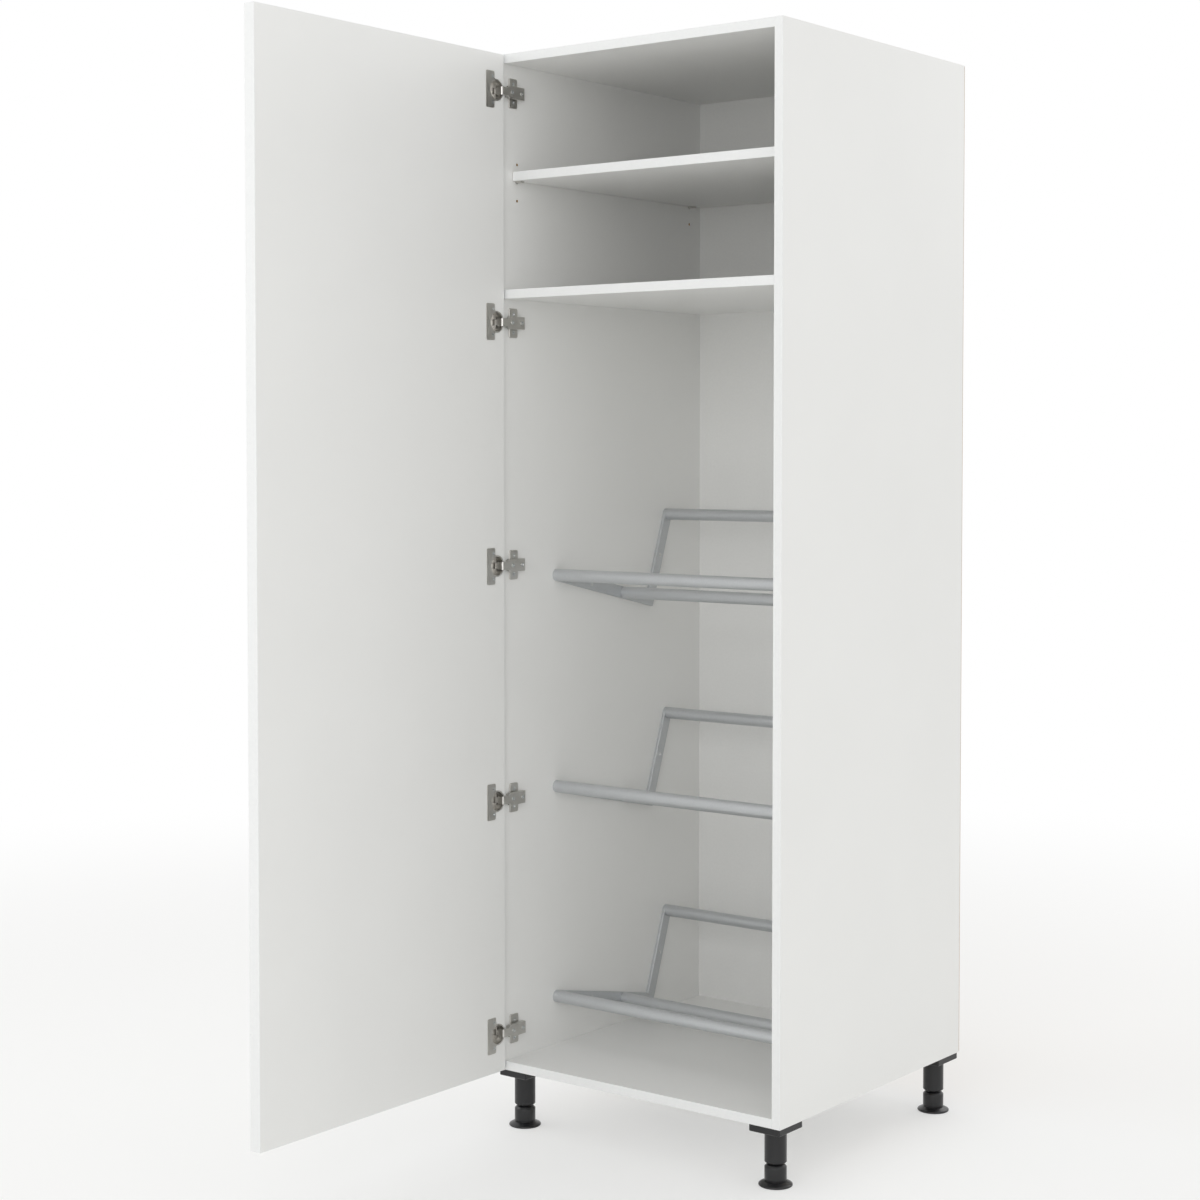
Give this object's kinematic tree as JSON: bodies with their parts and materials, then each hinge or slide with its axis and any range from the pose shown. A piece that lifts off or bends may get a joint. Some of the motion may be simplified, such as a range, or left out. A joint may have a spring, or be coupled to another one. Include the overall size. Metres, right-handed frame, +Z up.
{
  "type": "tall kitchen cabinet",
  "caption": "Tall white kitchen cabinet on adjustable feet, with a hinged full-height door, shelves at the top and sloping tube crate holders below.",
  "frame": {"origin": "on the floor, mid-width, in the plane of the carcass front edges, which is also the middle of the depth with the door open at a right angle", "axes": "+X right as seen from the front, +Y to the rear, +Z up"},
  "size_m": [0.6, 1.206, 1.905],
  "materials": {
    "white_melamine": "satin",
    "white_edge_band": "satin",
    "white_back_board": "matte",
    "nickel_plated_steel": "satin",
    "silver_powder_coated_steel": "satin",
    "zinc_plated_screws": "satin",
    "pin_steel": "polished",
    "black_plastic": "matte",
    "grey_plastic": "matte",
    "beech_dowel": "matte"
  },
  "bodies": {
    "carcass": {"back_panel": "white_back_board", "back_panel_screws": "zinc_plated_screws", "bottom_crate_holder_bracket_left": "silver_powder_coated_steel", "bottom_crate_holder_bracket_right": "silver_powder_coated_steel", "bottom_crate_holder_front_tube": "silver_powder_coated_steel", "bottom_crate_holder_middle_tube": "silver_powder_coated_steel", "bottom_crate_holder_rear_tube": "silver_powder_coated_steel", "bottom_hinge_arm": "nickel_plated_steel", "bottom_hinge_mounting_plate": "nickel_plated_steel", "bottom_panel": "white_melamine", "carcass_edge_bands": "white_edge_band", "corner_dowels": "beech_dowel", "crate_holder_plug_screws": "zinc_plated_screws", "crate_holder_tube_plugs": "grey_plastic", "crate_holder_wall_screws": "zinc_plated_screws", "fixed_shelf": "white_melamine", "foot_plate_screws": "zinc_plated_screws", "foot_sleeves": "black_plastic", "foot_socket_plates": "black_plastic", "hinge_adjusting_screws": "zinc_plated_screws", "hinge_plate_screws": "zinc_plated_screws", "lower_hinge_arm": "nickel_plated_steel", "lower_hinge_mounting_plate": "nickel_plated_steel", "middle_crate_holder_bracket_left": "silver_powder_coated_steel", "middle_crate_holder_bracket_right": "silver_powder_coated_steel", "middle_crate_holder_front_tube": "silver_powder_coated_steel", "middle_crate_holder_middle_tube": "silver_powder_coated_steel", "middle_crate_holder_rear_tube": "silver_powder_coated_steel", "middle_hinge_arm": "nickel_plated_steel", "middle_hinge_mounting_plate": "nickel_plated_steel", "shelf_pins": "nickel_plated_steel", "side_panel_left": "white_melamine", "side_panel_right": "white_melamine", "top_crate_holder_bracket_left": "silver_powder_coated_steel", "top_crate_holder_bracket_right": "silver_powder_coated_steel", "top_crate_holder_front_tube": "silver_powder_coated_steel", "top_crate_holder_middle_tube": "silver_powder_coated_steel", "top_crate_holder_rear_tube": "silver_powder_coated_steel", "top_hinge_arm": "nickel_plated_steel", "top_hinge_mounting_plate": "nickel_plated_steel", "top_panel": "white_melamine", "upper_hinge_arm": "nickel_plated_steel", "upper_hinge_mounting_plate": "nickel_plated_steel"},
    "door": {"bottom_hinge_cup": "nickel_plated_steel", "door_edge_bands": "white_edge_band", "door_panel": "white_melamine", "hinge_cup_screws": "zinc_plated_screws", "hinge_pins": "pin_steel", "lower_hinge_cup": "nickel_plated_steel", "middle_hinge_cup": "nickel_plated_steel", "top_hinge_cup": "nickel_plated_steel", "upper_hinge_cup": "nickel_plated_steel"},
    "adjustable_shelf": {"adjustable_shelf": "white_melamine", "adjustable_shelf_edge_band": "white_edge_band"},
    "levelling_foot_front_left": {"levelling_foot_front_left": "black_plastic"},
    "levelling_foot_front_right": {"levelling_foot_front_right": "black_plastic"},
    "levelling_foot_rear_left": {"levelling_foot_rear_left": "black_plastic"},
    "levelling_foot_rear_right": {"levelling_foot_rear_right": "black_plastic"}
  },
  "joints": [
    {"name": "door_swing", "type": "hinge", "parent": "carcass", "child": "door", "pos_m": [-0.28975, -0.01475, 1.005], "axis": [0, 0, -1], "range_deg": [-90, 5]},
    {"name": "shelf_lift", "type": "slide", "parent": "carcass", "child": "adjustable_shelf", "axis": [0, 0, 1], "range_m": [0, 0.03]},
    {"name": "foot_adjustment_front_left", "type": "slide", "parent": "carcass", "child": "levelling_foot_front_left", "axis": [0, 0, -1], "range_m": [0, 0.02]},
    {"name": "foot_adjustment_front_right", "type": "slide", "parent": "carcass", "child": "levelling_foot_front_right", "axis": [0, 0, -1], "range_m": [0, 0.02]},
    {"name": "foot_adjustment_rear_left", "type": "slide", "parent": "carcass", "child": "levelling_foot_rear_left", "axis": [0, 0, -1], "range_m": [0, 0.02]},
    {"name": "foot_adjustment_rear_right", "type": "slide", "parent": "carcass", "child": "levelling_foot_rear_right", "axis": [0, 0, -1], "range_m": [0, 0.02]}
  ]
}
